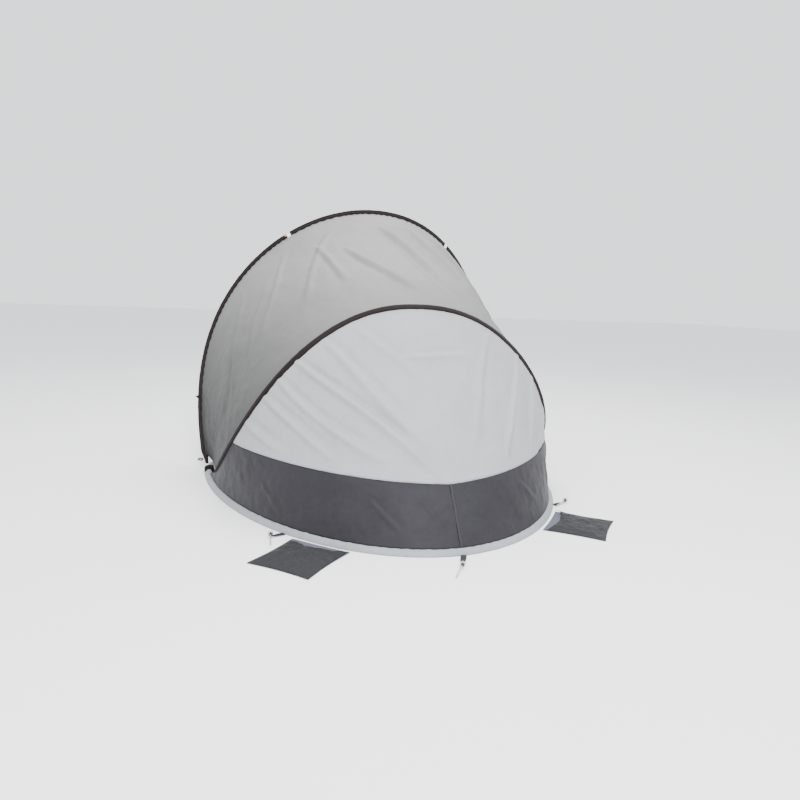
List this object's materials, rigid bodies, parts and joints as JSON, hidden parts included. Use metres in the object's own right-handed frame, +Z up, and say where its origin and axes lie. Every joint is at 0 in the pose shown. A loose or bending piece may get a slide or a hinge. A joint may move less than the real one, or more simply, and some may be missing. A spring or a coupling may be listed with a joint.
{
  "type": "pop-up beach shelter",
  "caption": "Pop-up cloth shelter on sprung hoops, open at the front, with a sloping rear wall, dark lower band, groundsheet, ground pegs in loops and sand pockets.",
  "frame": {"origin": "on the ground, midway between the two corners where the hoops cross", "axes": "+Z up, the mouth faces -Y, the rear wall +Y, +X to the left side seen from behind"},
  "size_m": [1.5534, 1.6932, 1.1433],
  "materials": {
    "dark_sleeve": "woven polyester tape, matt",
    "canopy_cloth": "thin coated polyester, soft sheen",
    "wall_cloth": "thin coated polyester, soft sheen",
    "band_cloth": "thin coated polyester, matt",
    "skirt_cloth": "coated polyester, matt",
    "sheet_cloth": "coated woven sheet, matt",
    "webbing": "woven tape, matt",
    "pocket_cloth": "thin coated polyester, matt",
    "white_tape": "woven tape, matt",
    "cord": "braided cord, matt",
    "spring_rod": "oiled spring steel",
    "ferrule": "crimped, satin",
    "peg_steel": "zinc plated, dull"
  },
  "bodies": {
    "base": {"groundsheet": "sheet_cloth", "rear_floor_sleeve": "skirt_cloth", "front_floor_sleeve": "skirt_cloth", "rear_floor_rod": "spring_rod", "front_floor_rod": "spring_rod", "corner_patch_left": "dark_sleeve", "corner_patch_right": "dark_sleeve", "corner_boot_left": "dark_sleeve", "corner_boot_right": "dark_sleeve", "rear_panel": "wall_cloth", "rear_band_left": "band_cloth", "rear_band_right": "band_cloth", "band_seam_tape": "band_cloth"},
    "rear_hoop": {"rear_arch_sleeve": "dark_sleeve", "rear_arch_rod": "spring_rod", "rear_ferrule": "ferrule", "canopy": "canopy_cloth"},
    "front_hoop": {"front_arch_sleeve_left": "dark_sleeve", "front_arch_sleeve_top": "dark_sleeve", "front_arch_sleeve_right": "dark_sleeve", "front_arch_rod": "spring_rod", "front_ferrule": "ferrule", "strap_left": "white_tape", "strap_right": "white_tape", "cord_knot_left": "cord", "tie_tab_left": "dark_sleeve", "tie_tab_right": "dark_sleeve", "side_loop_left": "webbing", "side_loop_right": "webbing"},
    "loop_left": {"peg_loop_left": "webbing"},
    "peg_left": {"peg_shaft_left": "peg_steel", "peg_head_left": "peg_steel"},
    "loop_centre": {"peg_loop_centre": "webbing"},
    "peg_centre": {"peg_shaft_centre": "peg_steel", "peg_head_centre": "peg_steel"},
    "loop_right": {"peg_loop_right": "webbing"},
    "peg_right": {"peg_shaft_right": "peg_steel", "peg_head_right": "peg_steel"},
    "pocket_left": {"sand_pocket_left": "pocket_cloth"},
    "pocket_right": {"sand_pocket_right": "pocket_cloth"}
  },
  "joints": [
    {"name": "rear_fold", "type": "hinge", "parent": "base", "child": "rear_hoop", "pos_m": [0, 0, 0], "axis": [-1, 0, 0], "range_deg": [0, 7], "stiffness_Nm_per_rad": 6, "springref_deg": -28.65, "deforming": ["rear_panel", "rear_band_left", "rear_band_right", "band_seam_tape"]},
    {"name": "front_fold", "type": "hinge", "parent": "rear_hoop", "child": "front_hoop", "pos_m": [0, 0, 0], "axis": [-1, 0, 0], "range_deg": [0, 40], "stiffness_Nm_per_rad": 2, "springref_deg": -28.65, "deforming": ["canopy"]},
    {"name": "peg_loop_lift_left", "type": "hinge", "parent": "base", "child": "loop_left", "pos_m": [0.50791, 0.80837, 0.0013], "axis": [0.5803, -0.8144, 0], "range_deg": [0, 60]},
    {"name": "peg_slide_left", "type": "slide", "parent": "loop_left", "child": "peg_left", "axis": [-0.1036, -0.9861, 0.1295], "range_m": [0, 0.03]},
    {"name": "peg_loop_lift_centre", "type": "hinge", "parent": "base", "child": "loop_centre", "pos_m": [0, 1.1215, 0.0013], "axis": [1, 0, 0], "range_deg": [0, 60]},
    {"name": "peg_slide_centre", "type": "slide", "parent": "loop_centre", "child": "peg_centre", "axis": [-0.6105, -0.7814, 0.1295], "range_m": [0, 0.03]},
    {"name": "peg_loop_lift_right", "type": "hinge", "parent": "base", "child": "loop_right", "pos_m": [-0.53701, 0.76538, 0.0013], "axis": [0.5408, 0.8411, 0], "range_deg": [0, 60]},
    {"name": "peg_slide_right", "type": "slide", "parent": "loop_right", "child": "peg_right", "axis": [-0.8755, -0.4655, 0.1295], "range_m": [0, 0.068]},
    {"name": "sand_pocket_lift_left", "type": "hinge", "parent": "base", "child": "pocket_left", "pos_m": [0.40412, 0.92717, 0.0005], "axis": [0.7067, -0.7075, 0], "range_deg": [0, 42]},
    {"name": "sand_pocket_lift_right", "type": "hinge", "parent": "base", "child": "pocket_right", "pos_m": [-0.42386, 0.90676, 0.0005], "axis": [0.6833, 0.7301, 0], "range_deg": [0, 42]}
  ]
}
